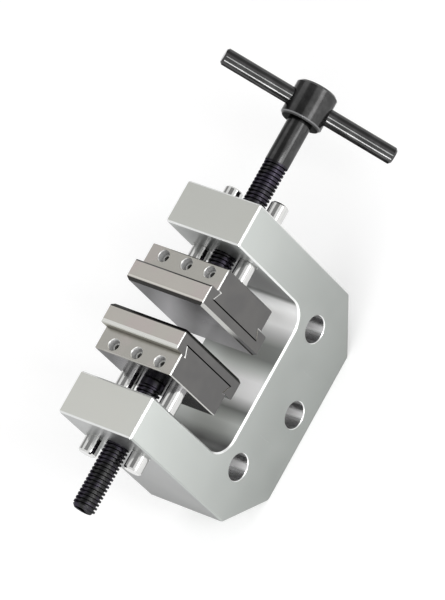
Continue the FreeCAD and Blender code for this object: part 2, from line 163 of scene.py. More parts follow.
class Board:
    """The node tree of a material or the world, on which its look is laid out."""

    # The Mix node's colour sockets go by number, because its sockets for other kinds share their names.
    MIX_FIRST: ClassVar[int] = 6
    MIX_SECOND: ClassVar[int] = 7
    MIX_RESULT: ClassVar[int] = 2

    def __init__(self, owner: Union[bpy.types.Material, bpy.types.World]) -> None:
        """Empties the owner's node tree.

        Args:
            owner: the material or world.
        """
        owner.use_nodes = True
        self.owner = owner
        self.tree = owner.node_tree
        self.tree.nodes.clear()

    @classmethod
    def of_material(cls, name: str) -> "Board":
        """A board for a new material."""
        return cls(bpy.data.materials.new(name))

    def node(
        self,
        kind: str,
        settings: Optional[dict[str, Any]] = None,
        inputs: Optional[dict[Union[str, int], Any]] = None,
    ) -> bpy.types.Node:
        """Adds a node.

        Args:
            kind: the node's type.
            settings: its own settings, which are set first; "stops" are a ramp's places and colours.
            inputs: the values or wires of its sockets, by name or number.

        Returns:
            The node.
        """
        node = self.tree.nodes.new(kind)
        for name, value in (settings or {}).items():
            if name == "stops":
                self._set_stops(node.color_ramp, value)
            else:
                setattr(node, name, value)
        for key, value in (inputs or {}).items():
            if isinstance(value, Wire):
                self.tree.links.new(value.socket, node.inputs[key])
            elif isinstance(value, tuple) and len(value) == 3 and node.inputs[key].type == "RGBA":
                node.inputs[key].default_value = (*value, 1.0)
            else:
                node.inputs[key].default_value = value
        return node

    @staticmethod
    def _set_stops(ramp: bpy.types.ColorRamp, stops: Sequence[tuple[float, Colour]]) -> None:
        """Gives a ramp its stops.

        Args:
            ramp: the ramp.
            stops: its places, from 0 to 1, and their colours.
        """
        while len(ramp.elements) < len(stops):
            ramp.elements.new(1.0)
        for element, (place, colour) in zip(ramp.elements, stops):
            element.position = place
            element.color = (*colour, 1.0)

    def bands(self, value: Wire, low: float, high: float, stops: Sequence[tuple[float, Colour]]) -> Wire:
        """A colour that changes along a value, softly from stop to stop.

        Args:
            value: what the colour follows.
            low: the value of the first stop.
            high: the value of the last stop.
            stops: values between the two, in order, and their colours.

        Returns:
            The colour.
        """
        span = high - low
        shares = [((place - low) / span, colour) for place, colour in stops]
        share = (value - low) * (1 / span)
        ramp = self.node("ShaderNodeValToRGB", {"stops": shares}, {0: share})
        return Wire(self, ramp.outputs[0])

    def math(self, operation: str, *values: Value) -> Wire:
        """Adds a Math node.

        Args:
            operation: the node's operation.
            values: its one or two numbers or wires.

        Returns:
            The result.
        """
        node = self.node("ShaderNodeMath", {"operation": operation}, dict(enumerate(values)))
        return Wire(self, node.outputs[0])

    def place(self) -> Axes:
        """The point's place in the object's own coordinates, by axis, in metres."""
        return self._parts("Object")

    def facing(self) -> Axes:
        """The surface's direction in the object's own coordinates, by axis."""
        return self._parts("Normal")

    def _parts(self, output: str) -> Axes:
        """Splits one of the coordinate node's vectors by axis.

        Args:
            output: the node's output that gives the vector.

        Returns:
            Its numbers as "X", "Y" and "Z", and the vector itself as "all".
        """
        coordinates = self.node("ShaderNodeTexCoord")
        vector = Wire(self, coordinates.outputs[output])
        split = self.node("ShaderNodeSeparateXYZ", None, {0: vector})
        parts = {axis: Wire(self, split.outputs[axis]) for axis in "XYZ"}
        parts["all"] = vector
        return parts

    def stretched(self, vector: Wire, scale: Sequence[float]) -> Wire:
        """A vector scaled by a different number on each axis."""
        node = self.node("ShaderNodeMapping", None, {"Vector": vector, "Scale": tuple(scale)})
        return Wire(self, node.outputs[0])

    def noise(self, vector: Wire, scale: float, detail: float = 3.0, rough: float = 0.55) -> Wire:
        """Cloudy noise.

        Args:
            vector: where the noise is read.
            scale: spots per metre.
            detail: how many finer layers it has.
            rough: how strong the finer layers are.

        Returns:
            The noise, about 0.5 on average.
        """
        inputs = {"Vector": vector, "Scale": scale, "Detail": detail, "Roughness": rough}
        return Wire(self, self.node("ShaderNodeTexNoise", None, inputs).outputs[0])

    def blend(self, factor: Value, first: Union[Colour, Wire], second: Union[Colour, Wire]) -> Wire:
        """A colour between two colours.

        Args:
            factor: 0 for the first colour, 1 for the second.
            first: the first colour.
            second: the second colour.

        Returns:
            The blended colour.
        """
        inputs = {"Factor": factor, self.MIX_FIRST: first, self.MIX_SECOND: second}
        node = self.node("ShaderNodeMix", {"data_type": "RGBA"}, inputs)
        return Wire(self, node.outputs[self.MIX_RESULT])

    def coats(self, tone: Wire, *layers: tuple[Value, Union[Colour, Wire]]) -> Wire:
        """Lays colours over a first one, in order.

        Args:
            tone: the first colour.
            layers: each colour's mask, and the colour.

        Returns:
            The colour that shows.
        """
        for mask, colour in layers:
            tone = self.blend(mask, tone, colour)
        return tone

    def bump(self, height: Wire, distance: float, strength: float) -> Wire:
        """A bumped normal.

        Args:
            height: the bump's height, from 0 to 1.
            distance: the height of 1, in metres.
            strength: how much of it shows.

        Returns:
            The normal.
        """
        inputs = {"Height": height, "Distance": distance, "Strength": strength}
        return Wire(self, self.node("ShaderNodeBump", None, inputs).outputs[0])

    def close(self, shader: bpy.types.Node, output: str = "ShaderNodeOutputMaterial") -> None:
        """Joins the last shader to the tree's output."""
        self.tree.links.new(shader.outputs[0], self.node(output).inputs["Surface"])

    def finish(self, inputs: dict[str, Any], grazing: float = 1.0) -> bpy.types.Material:
        """Closes the board with one Principled shader.

        Args:
            inputs: the shader's values and wires.
            grazing: how bright the surface mirrors at a grazing angle, where 1 is fully.

        Returns:
            The material.
        """
        tinted = {"Specular Tint": (grazing, grazing, grazing), **inputs}
        self.close(self.node("ShaderNodeBsdfPrincipled", None, tinted))
        return self.owner


def grey(level: float, tint: Colour = (1.0, 1.0, 1.0)) -> Colour:
    """A grey of one level with a slight tint."""
    return (level * tint[0], level * tint[1], level * tint[2])


@dataclass(frozen=True)
class BlastedAluminium:
    """The frame's finish: fine-blasted faces with painted shine and shade, painted highlights on the broken
    edges, and painted reflections in the throat and the bores.
    """

    name: str = "blasted_aluminium"
    cool: Colour = (0.968, 1.008, 0.974)
    warm: Colour = (1.005, 1.010, 0.950)
    plain: Colour = (0.990, 1.0, 1.0)
    grazing: float = 0.80
    # Painted highlights on the broken edges: brightest round the front and back faces, less on the arms'
    # ends, dim where the edges catch little light.
    edge: Colour = (0.90, 0.91, 0.90)
    end_edge: Colour = (0.76, 0.77, 0.76)
    dull_edge: Colour = (0.46, 0.48, 0.465)
    haze: float = 0.72
    # Painted shade on the left of each cross hole's bore and a painted highlight on its right.
    bore_left: Colour = (0.42, 0.42, 0.42)
    bore_right: Colour = (0.98, 0.98, 0.98)
    bore_shine: tuple[float, float] = (1.2 * MM, 4.4 * MM)
    roughness: float = 0.36
    throat_roughness: float = 0.30
    bore_roughness: float = 0.24
    edge_roughness: float = 0.30
    throat_half_length: float = 42.0 * MM
    throat_floor: float = 47.5 * MM
    arm_end: float = 117.0 * MM
    hole_radius: float = 7.0 * MM
    side_hole: tuple[float, float] = (39.0 * MM, 34.3 * MM)
    centre_hole_height: float = 15.3 * MM
    left_face: float = -65.0 * MM
    broken: tuple[float, float] = (0.3, 0.95)

    def make(self) -> bpy.types.Material:
        """Lays out the finish.

        Returns:
            The material.
        """
        board = Board.of_material(self.name)
        place = board.place()
        facing = board.facing()
        side_break = abs(facing["Y"]).within(*self.broken, 0.04)
        end_break = facing["Z"].within(*self.broken, 0.04)
        end_break = end_break * place["Z"].rise(self.arm_end, self.arm_end + 0.1 * MM)
        across, up = self._from_hole(place)
        distance = board.math("SQRT", across * across + up * up)
        bore = 1 - distance.rise(self.hole_radius + 0.05 * MM, self.hole_radius + 0.3 * MM)
        edges = side_break.larger(end_break) * (1 - bore)
        # The broken edges' colour is a painted highlight, dimmed where the edges catch little light.
        edge = board.blend(side_break, self.end_edge, self.edge)
        edge = board.blend(self._dull_edges(place, facing), edge, self.dull_edge)
        inside = self._throat(place) * (1 - abs(facing["Y"]).rise(0.2, 0.4))
        clouds = board.noise(place["all"], 22.0, 2.0)
        grain = board.noise(place["all"], 5200.0, 3.0, 0.7)
        colour = board.coats(
            self._faces(board, place, facing),
            (inside, self._burnished(board, place, facing)),
            (clouds.rise(0.35, 0.65) * 0.12, grey(self.haze, self.cool)),
            # painted shade and highlight in the bores
            (bore, board.blend(across.rise(-5 * MM, 0), self.bore_left, self.bore_right)),
            # painted highlights on the broken edges
            (edges, edge),
        )
        rough = self.roughness + (clouds - 0.5) * 0.06
        rough = rough + inside * (self.throat_roughness - self.roughness)
        rough = rough + bore * (self.bore_roughness - self.roughness)
        rough = rough + edges * (self.edge_roughness - self.roughness)
        satin = bore * across.within(*self.bore_shine, 0.9 * MM)
        return board.finish({
            "Base Color": colour,
            "Metallic": 1 - inside * 0.75 - satin * 0.60,
            "Roughness": rough,
            "Normal": board.bump(grain * (1 - bore), 0.006 * MM, 0.5),
        }, self.grazing)

    def _dull_edges(self, place: Axes, facing: Axes) -> Wire:
        """The mask of the edges that catch little light: the outer left ones and those towards the back.

        Args:
            place: the point's place, by axis.
            facing: the surface's direction, by axis.

        Returns:
            The mask, between 0 and 1.
        """
        left = 1 - place["X"].rise(self.left_face + 0.9 * MM, self.left_face + 1.1 * MM)
        return left * (1 - facing["Z"].rise(0.2, 0.4)) + facing["Z"].rise(-0.2, -0.4) * (1 - left)

    def _throat(self, place: Axes) -> Wire:
        """The mask of the throat: all that lies between the arms and above the spine.

        Args:
            place: the point's place, by axis.

        Returns:
            The mask, between 0 and 1.
        """
        wall = self.throat_half_length
        between = 1 - abs(place["X"]).rise(wall + 0.1 * MM, wall + 0.8 * MM)
        return between * place["Z"].rise(self.throat_floor - 0.6 * MM, self.throat_floor - 0.1 * MM)

    def _from_hole(self, place: Axes) -> tuple[Wire, Wire]:
        """How far a point lies from the axis of the nearest cross hole.

        Args:
            place: the point's place, by axis.

        Returns:
            How far it lies to the right of the axis, and how far above it.
        """
        halfway = self.side_hole[0] / 2
        right = place["X"].rise(halfway, halfway + 0.1 * MM)
        left = 1 - place["X"].rise(-halfway - 0.1 * MM, -halfway)
        across = place["X"] - (right - left) * self.side_hole[0]
        rise = self.side_hole[1] - self.centre_hole_height
        up = place["Z"] - self.centre_hole_height - (right + left) * rise
        return across, up

    def _faces(self, board: Board, place: Axes, facing: Axes) -> Wire:
        """The blasted faces with painted light: on the front and back faces a painted shine that grows
        towards the arms' ends and to the left; calmer on the ends, where the left arm's end is painted
        lighter than the right's, and on the sides, painted darker towards the bottom.

        Args:
            board: the material's board.
            place: the point's place, by axis.
            facing: the surface's direction, by axis.

        Returns:
            The faces' colour.
        """
        # Painted shine: lighter towards the arms' ends and to the left.
        painted_sheen = 0.075 + place["Z"] * 5.8 - place["X"] * 1.4
        front = board.blend(painted_sheen, grey(0.30, self.cool), grey(0.70, self.cool))
        # Painted light: the left arm's end lighter than the right's.
        ends = board.blend(place["X"] * 9.0 + 0.5, grey(0.65, self.warm), grey(0.57, self.warm))
        # Painted shade: the sides darker towards the bottom.
        sides = board.bands(place["Z"], 0.024, 0.118, [
            (0.024, grey(0.25, self.plain)),
            (0.036, grey(0.31, self.plain)),
            (0.060, grey(0.34, self.plain)),
            (0.118, grey(0.46, self.plain)),
        ])
        colour = board.blend(facing["Z"].rise(0.7, 0.9), front, ends)
        return board.blend(abs(facing["X"]).rise(0.7, 0.9), colour, sides)

    def _burnished(self, board: Board, place: Axes, facing: Axes) -> Wire:
        """The throat's painted reflections: light and dark bands painted along its floor, and walls painted
        dark, lighter towards their front and back ends.

        Args:
            board: the material's board.
            place: the point's place, by axis.
            facing: the surface's direction, by axis.

        Returns:
            The throat's colour.
        """
        floor = board.bands(place["X"], -0.042, 0.042, [
            (-0.042, grey(0.05)),
            (-0.035, grey(0.07)),
            (-0.028, grey(0.50, self.cool)),
            (-0.023, grey(0.64, self.cool)),
            (-0.016, grey(0.20, self.cool)),
            (-0.009, grey(0.84)),
            (0.000, grey(1.00)),
            (0.006, grey(0.66, self.cool)),
            (0.012, grey(0.26, self.cool)),
            (0.020, grey(0.27, self.cool)),
            (0.026, grey(0.62)),
            (0.031, grey(1.00)),
            (0.038, grey(1.00)),
            (0.042, grey(0.74)),
        ])
        wall = board.bands(place["Y"], -0.0235, 0.0235, [
            (-0.0235, grey(0.44, self.cool)),
            (-0.0150, grey(0.15, self.cool)),
            (-0.0040, grey(0.11, self.cool)),
            (0.0100, grey(0.24, self.cool)),
            (0.0235, grey(0.41, self.cool)),
        ])
        # Painted shade: the walls darker low down, towards the throat's floor.
        wall = board.blend(place["Z"].rise(0.064, 0.100), grey(0.08, self.cool), wall)
        return board.blend(abs(facing["X"]).rise(0.90, 0.995), floor, wall)


@dataclass(frozen=True)
class GroundSteel:
    """The jaws' finish: warm ground tops, gripping faces with painted reflection bands, milled sides
    painted darker than the tops, painted highlights on the broken edges and dark painted reflections round
    the gripping faces.
    """

    name: str = "ground_steel"
    top: Colour = (0.400, 0.390, 0.360)
    plate_top_face: Colour = (0.470, 0.450, 0.415)
    rose: Colour = (0.490, 0.440, 0.425)
    grip: Colour = (1.0, 0.985, 1.02)
    # Painted shade: the sides darker than the tops, mottled.
    side: Colour = (0.138, 0.136, 0.135)
    side_pale: Colour = (0.153, 0.150, 0.147)
    # Painted highlights on the broken edges, painted shade and dark painted reflections on the chamfers,
    # and a painted glint.
    edge: Colour = (0.88, 0.88, 0.86)
    pale_edge: Colour = (0.70, 0.70, 0.67)
    soft_edge: Colour = (0.52, 0.52, 0.50)
    dim_edge: Colour = (0.50, 0.50, 0.47)
    shaded_edge: Colour = (0.11, 0.11, 0.11)
    charcoal: Colour = (0.045, 0.044, 0.042)
    dark_edge: Colour = (0.014, 0.013, 0.012)
    glint: Colour = (0.64, 0.62, 0.58)
    # Painted highlight on the left plate's back above its carrier, and painted shade on it next to the
    # carrier.
    ledge: Colour = (0.42, 0.41, 0.36)
    low_ledge: Colour = (0.20, 0.19, 0.17)
    # Painted reflection: the set-screw holes' walls lighter than the tops.
    hole_wall: Colour = (0.58, 0.58, 0.58)
    # The oil colour is painted shade in the gap between each carrier's tail and its plate.
    oil: Colour = (0.008, 0.008, 0.008)
    grazing: float = 0.60
    roughness: float = 0.26
    side_roughness: float = 0.34
    flat: tuple[float, float] = (0.90, 0.97)
    nearly_flat: tuple[float, float] = (0.80, 0.95)
    broken: tuple[float, float] = (0.30, 0.93)
    openings_differ: float = 1.1 * MM
    left_back: tuple[float, float] = (-11.0 * MM, -9.0 * MM)
    left_step: tuple[float, float] = (-17.5 * MM, -15.1 * MM)
    outer_chamfer: tuple[float, float] = (7.5 * MM, 7.9 * MM)
    glint_span: tuple[float, float] = (7.9 * MM, 8.7 * MM)
    border: float = 8.0 * MM
    grip_reach: float = 8.9 * MM
    gap_span: tuple[float, float] = (12.0 * MM, 12.5 * MM)
    hole_span: tuple[float, float] = (21.0 * MM, 28.6 * MM)
    hole_reach: float = 18.0 * MM
    carrier_back: float = 28.2 * MM
    tail_span: tuple[float, float] = (72.2 * MM, 116.0 * MM)
    lit_span: tuple[float, float] = (82.0 * MM, 97.0 * MM)
    hole_floor: float = 100.0 * MM
    carrier_top: float = 116.5 * MM
    plate_only: float = 118.0 * MM
    plate_top: float = 122.0 * MM

    def make(self) -> bpy.types.Material:
        """Lays out the finish.

        Returns:
            The material.
        """
        board = Board.of_material(self.name)
        place = board.place()
        facing = board.facing()
        on_side = abs(facing["Y"]).rise(*self.nearly_flat)
        scratches = board.noise(board.stretched(place["all"], (1.0, 0.03, 1.0)), 2600.0, 4.0, 0.6)
        clouds = board.noise(place["all"], 60.0, 2.0)
        hole = self._hole_wall(place, facing)
        ledge = self._ledge(place, facing)
        shelf = place["Z"].rise(self.carrier_top + 0.3 * MM, self.carrier_top + 2.5 * MM)
        tone = self._faces(board, place, facing, clouds)
        tone = self._edges(board, place, facing, tone)
        tone = board.coats(
            tone,
            # painted highlight on the left plate's back, with painted shade next to the carrier
            (ledge, board.blend(shelf, self.low_ledge, self.ledge)),
            # painted reflection on the set-screw holes' walls
            (hole, self.hole_wall),
            # painted shade in the gaps between the carriers' tails and the plates
            (self._gap(place, facing), self.oil),
        )
        rough = self.roughness + on_side * (self.side_roughness - self.roughness)
        rough = rough + (clouds - 0.5) * 0.08 + ledge * 0.24 + hole * 0.1
        return board.finish({
            "Base Color": tone,
            "Metallic": 1 - hole * 0.7,
            "Roughness": rough,
            "Normal": board.bump(scratches, 0.004 * MM, 0.35),
        }, self.grazing)

    def _faces(self, board: Board, place: Axes, facing: Axes, clouds: Wire) -> Wire:
        """The flat faces: ground tops, gripping faces with slanting bands of painted reflection, and milled
        sides painted darker than the tops as painted shade.

        Args:
            board: the material's board.
            place: the point's place, by axis.
            facing: the surface's direction, by axis.
            clouds: the cloudy noise that mottles them.

        Returns:
            The faces' colour.
        """
        # Painted reflection: light and dark bands slanting across the gripping faces.
        slant = place["Z"] + place["Y"] * 1.5
        grip = board.bands(slant, 0.055, 0.150, [
            (0.055, grey(0.52, self.grip)),
            (0.064, grey(0.50, self.grip)),
            (0.075, grey(0.34, self.grip)),
            (0.089, grey(0.16, self.grip)),
            (0.100, grey(0.26, self.grip)),
            (0.115, grey(0.44, self.grip)),
            (0.136, grey(0.14, self.grip)),
            (0.150, grey(0.17, self.grip)),
        ])
        carrier = board.blend(clouds.rise(0.50, 0.66) * 0.4, self.top, self.rose)
        plate = board.blend(clouds.rise(0.45, 0.62) * 0.7, self.plate_top_face, self.rose)
        on_plate = place["Z"].rise(self.plate_only, self.plate_only + 2 * MM)
        # The sides' painted shade, mottled.
        side = board.blend(clouds.rise(0.40, 0.65), self.side, self.side_pale)
        return board.coats(
            board.blend(on_plate, carrier, plate),
            (abs(facing["X"]).rise(*self.nearly_flat), grip),
            (abs(facing["Y"]).rise(*self.nearly_flat), side),
        )

    def _edges(self, board: Board, place: Axes, facing: Axes, tone: Wire) -> Wire:
        """Lays the edges over the faces: painted highlights on the broken ones, and painted shade and dark
        painted reflections round the gripping faces.

        Args:
            board: the material's board.
            place: the point's place, by axis.
            facing: the surface's direction, by axis.
            tone: the faces' colour.

        Returns:
            The colour with the edges.
        """
        outward = abs(place["X"])
        right = place["X"].rise(-MM, MM)
        beyond = outward - right * self.openings_differ
        above = place["Z"].rise(self.plate_only, self.plate_only + MM)
        high = place["Z"].rise(self.plate_top - 0.9 * MM, self.plate_top)
        upward = facing["Z"].rise(0.3, 0.5)
        top = facing["Z"].rise(*self.flat) * above
        side_break = abs(facing["Y"]).within(*self.broken, 0.03)
        end_break = abs(facing["X"]).within(*self.broken, 0.03)
        near_grip = 1 - outward.rise(self.grip_reach, self.grip_reach + 0.1 * MM)
        back = (1 - near_grip) * end_break * upward * above
        rim = (1 - right) * (1 - beyond.rise(self.border - 0.1 * MM, self.border + 0.1 * MM))
        shade = board.blend(right * outward.rise(*self.outer_chamfer), self.dark_edge, self.shaded_edge)
        # Painted highlights on the broken edges, painted shade and dark painted reflections on the chamfers
        # round the gripping faces and on the left plate's outer rim, and a painted glint on the right
        # plate's top.
        return board.coats(
            tone,
            (side_break, self.edge),
            (side_break * outward.rise(self.carrier_back, self.carrier_back + 0.2 * MM), self.soft_edge),
            (top * place["X"].within(*self.left_step, 0.2 * MM), self.pale_edge),
            (back, board.blend(high, self.dim_edge, self.pale_edge)),
            (back * right, self.shaded_edge),
            (
                near_grip * side_break * end_break,
                board.blend(right * place["Z"].rise(*self.lit_span), shade, self.soft_edge),
            ),
            (near_grip * end_break * upward, board.blend(right, self.dark_edge, self.charcoal)),
            (rim * (1 - abs(facing["X"]).rise(*self.flat)), self.charcoal),
            (right * top * beyond.within(*self.glint_span, 0.15 * MM), self.glint),
        )

    def _gap(self, place: Axes, facing: Axes) -> Wire:
        """The mask of the painted shade in the gap between each carrier's tail and its plate's groove, and
        on its rims.

        Args:
            place: the point's place, by axis.
            facing: the surface's direction, by axis.

        Returns:
            The mask, between 0 and 1.
        """
        beyond = abs(place["X"]) - place["X"].rise(-MM, MM) * self.openings_differ
        low, high = self.gap_span
        walls = beyond.within(low - 0.05 * MM, high + 0.05 * MM, 0.02 * MM)
        rims = beyond.within(low - 0.1 * MM, high + 0.1 * MM, 0.05 * MM)
        rims = abs(facing["Y"]).rise(*self.flat) * rims * place["Z"].within(*self.tail_span, 0.2 * MM)
        return (abs(facing["X"]).rise(*self.flat) * walls).larger(rims)

    def _ledge(self, place: Axes, facing: Axes) -> Wire:
        """The mask of the left plate's back above its carrier, painted bright as a highlight."""
        above = place["Z"].rise(self.carrier_top, self.carrier_top + 0.02 * MM)
        return facing["X"].rise(-0.8, -0.95) * above * (1 - place["X"].rise(*self.left_back))

    def _hole_wall(self, place: Axes, facing: Axes) -> Wire:
        """The mask of the walls of the set-screw holes in the carriers' tops.

        Args:
            place: the point's place, by axis.
            facing: the surface's direction, by axis.

        Returns:
            The mask, between 0 and 1.
        """
        within = abs(place["X"]).within(*self.hole_span, 0.05 * MM)
        upright = 1 - abs(facing["Z"]).rise(0.4, 0.9)
        inner = 1 - abs(place["Y"]).rise(self.hole_reach, self.hole_reach + 0.5 * MM)
        return within * upright * inner * place["Z"].rise(self.hole_floor, self.hole_floor + 2 * MM)


@dataclass(frozen=True)
class BrightFitting:
    """The set screws' finish: plain bright steel, with painted shade in the hexagon socket."""

    name: str = "fitting_steel"
    steel: Colour = (0.66, 0.66, 0.64)
    # Painted shade in the hexagon socket.
    socket: Colour = (0.32, 0.32, 0.31)
    roughness: float = 0.30
    socket_mouth: float = 112.9 * MM

    def make(self) -> bpy.types.Material:
        """Lays out the finish.

        Returns:
            The material.
        """
        board = Board.of_material(self.name)
        place = board.place()
        facing = board.facing()
        clouds = board.noise(place["all"], 400.0, 3.0)
        upright = 1 - abs(facing["Z"]).rise(0.2, 0.5)
        mouth = self.socket_mouth
        inside = upright * (1 - place["Z"].rise(mouth - 0.5 * MM, mouth))
        floor = facing["Z"].rise(0.8, 0.95) * (1 - place["Z"].rise(mouth - MM, mouth - 0.5 * MM))
        return board.finish({
            # painted shade in the socket
            "Base Color": board.blend(inside.larger(floor), self.steel, self.socket),
            "Metallic": 0.6,
            "Roughness": self.roughness + (clouds - 0.5) * 0.15,
        })


@dataclass(frozen=True)
class PolishedChrome:
    """The guide pins' finish: bright chrome with faint sliding marks along its length."""

    name: str = "polished_chrome"
    metal: Colour = (0.66, 0.66, 0.65)
    mark: Colour = (0.52, 0.52, 0.51)
    roughness: float = 0.11

    def make(self) -> bpy.types.Material:
        """Lays out the finish.

        Returns:
            The material.
        """
        board = Board.of_material(self.name)
        place = board.place()
        marks = board.noise(board.stretched(place["all"], (0.02, 1.0, 1.0)), 1900.0, 4.0, 0.7)
        return board.finish({
            "Base Color": board.blend(marks.rise(0.45, 0.75), self.metal, self.mark),
            "Metallic": 1.0,
            "Roughness": self.roughness + (marks - 0.5) * 0.06,
        })


@dataclass(frozen=True)
class BlackOxide:
    """The screws' and the cross bar's finish: oiled black oxide, with a violet tinge on the threads."""

    name: str
    roughness: float = 0.23
    oil: float = 0.70
    oil_roughness: float = 0.17
    metal: Colour = (0.028, 0.028, 0.028)
    worn: Colour = (0.062, 0.062, 0.062)
    violet: Colour = (0.042, 0.036, 0.054)
    # A painted highlight along the head's lower rim.
    bare: Colour = (0.19, 0.19, 0.195)
    grazing: float = 0.35
    thread_end: float = 94.0 * MM
    bare_span: tuple[float, float] = (118.2 * MM, 119.0 * MM)

    def make(self) -> bpy.types.Material:
        """Lays out the finish.

        Returns:
            The material.
        """
        board = Board.of_material(self.name)
        place = board.place()
        facing = board.facing()
        clouds = board.noise(place["all"], 130.0, 4.0, 0.6)
        grain = board.noise(place["all"], 3400.0, 3.0, 0.65)
        plain = place["X"].rise(self.thread_end - 0.5 * MM, self.thread_end + 0.5 * MM)
        flat_end = abs(facing["X"]).rise(0.9, 0.99)
        rim = facing["X"].within(-0.9, -0.5, 0.05) * place["X"].within(*self.bare_span, 0.1 * MM)
        tone = board.blend(clouds.rise(0.42, 0.72), self.metal, self.worn)
        threaded = board.blend(clouds.rise(0.40, 0.60), self.metal, self.violet)
        tone = board.blend(plain, threaded, tone)
        return board.finish({
            # painted highlight along the head's lower rim
            "Base Color": board.blend(rim, tone, self.bare),
            "Metallic": 1.0,
            "Roughness": self.roughness + (1 - plain) * 0.12 + (clouds - 0.5) * 0.12,
            "Coat Weight": self.oil * (0.3 + plain * 0.7) * (1 - flat_end),
            "Coat Roughness": self.oil_roughness,
            "Normal": board.bump(grain, 0.006 * MM, 0.4),
        }, self.grazing)


@dataclass(frozen=True)
class Rubber:
    """The detents' cushions: plain black rubber with a fine grain."""

    name: str = "matt_rubber"
    dark: Colour = (0.018, 0.018, 0.018)
    dusty: Colour = (0.05, 0.05, 0.05)
    roughness: float = 0.75

    def make(self) -> bpy.types.Material:
        """Lays out the finish.

        Returns:
            The material.
        """
        board = Board.of_material(self.name)
        clouds = board.noise(board.place()["all"], 900.0, 3.0)
        return board.finish({
            "Base Color": board.blend(clouds, self.dark, self.dusty),
            "Roughness": self.roughness + (clouds - 0.5) * 0.2,
        })


class Shop:
    """The bpy operators that shape a new piece, by their plain names."""

    @staticmethod
    def clear() -> None:
        """Leaves edit mode and deselects everything."""
        if bpy.context.mode != "OBJECT":
            bpy.ops.object.mode_set(mode="OBJECT")
        bpy.ops.object.select_all(action="DESELECT")

    @staticmethod
    def pick(piece: bpy.types.Object) -> None:
        """Makes a piece the only selected and active one.

        Args:
            piece: the piece.
        """
        Shop.clear()
        piece.select_set(True)
        bpy.context.view_layer.objects.active = piece

    @staticmethod
    def apply(piece: bpy.types.Object, kind: str, **settings: Any) -> None:
        """Adds a modifier to a piece and applies it.

        Args:
            piece: the piece.
            kind: the modifier's type.
            settings: its settings.
        """
        Shop.pick(piece)
        modifier = piece.modifiers.new(kind.lower(), kind)
        for name, value in settings.items():
            setattr(modifier, name, value)
        bpy.ops.object.modifier_apply(modifier=modifier.name)

    @staticmethod
    def combine(piece: bpy.types.Object, tool: bpy.types.Object, operation: str) -> None:
        """Joins, cuts or keeps the overlap of two closed pieces, and removes the second."""
        Shop.apply(piece, "BOOLEAN", object=tool, operation=operation, solver="EXACT")
        bpy.data.objects.remove(tool)

    @staticmethod
    def round_bar(
        name: str,
        diameter: float,
        start: float,
        end: float,
        bevel: float = 0.0,
        segments: int = 2,
        sides: int = 96,
    ) -> bpy.types.Object:
        """A round bar on the X axis, with its end edges bevelled.

        Args:
            name: the piece's name.
            diameter: its diameter.
            start: where it starts along X.
            end: where it ends along X.
            bevel: the width of the bevel at both ends.
            segments: how many facets the bevel has.
            sides: how many facets the round has.

        Returns:
            The bar.
        """
        Shop.clear()
        bpy.ops.mesh.primitive_cylinder_add(
            vertices=sides,
            radius=diameter / 2,
            depth=abs(end - start),
            location=((start + end) / 2, 0, 0),
            rotation=(0, math.pi / 2, 0),
        )
        bar = bpy.context.object
        bar.name = name
        bpy.ops.object.transform_apply(location=True, rotation=True, scale=True)
        if bevel > 0:
            bpy.ops.object.mode_set(mode="EDIT")
            bpy.ops.mesh.select_all(action="DESELECT")
            bpy.ops.mesh.select_mode(type="EDGE")
            sheet = bmesh.from_edit_mesh(bar.data)
            ends = (min(start, end), max(start, end))
            for edge in sheet.edges:
                edge.select = any(all(abs(v.co.x - x) < 1e-6 for v in edge.verts) for x in ends)
            bmesh.update_edit_mesh(bar.data)
            bpy.ops.mesh.bevel(offset=bevel, segments=segments, profile=0.6, affect="EDGES")
            bpy.ops.object.mode_set(mode="OBJECT")
        return bar


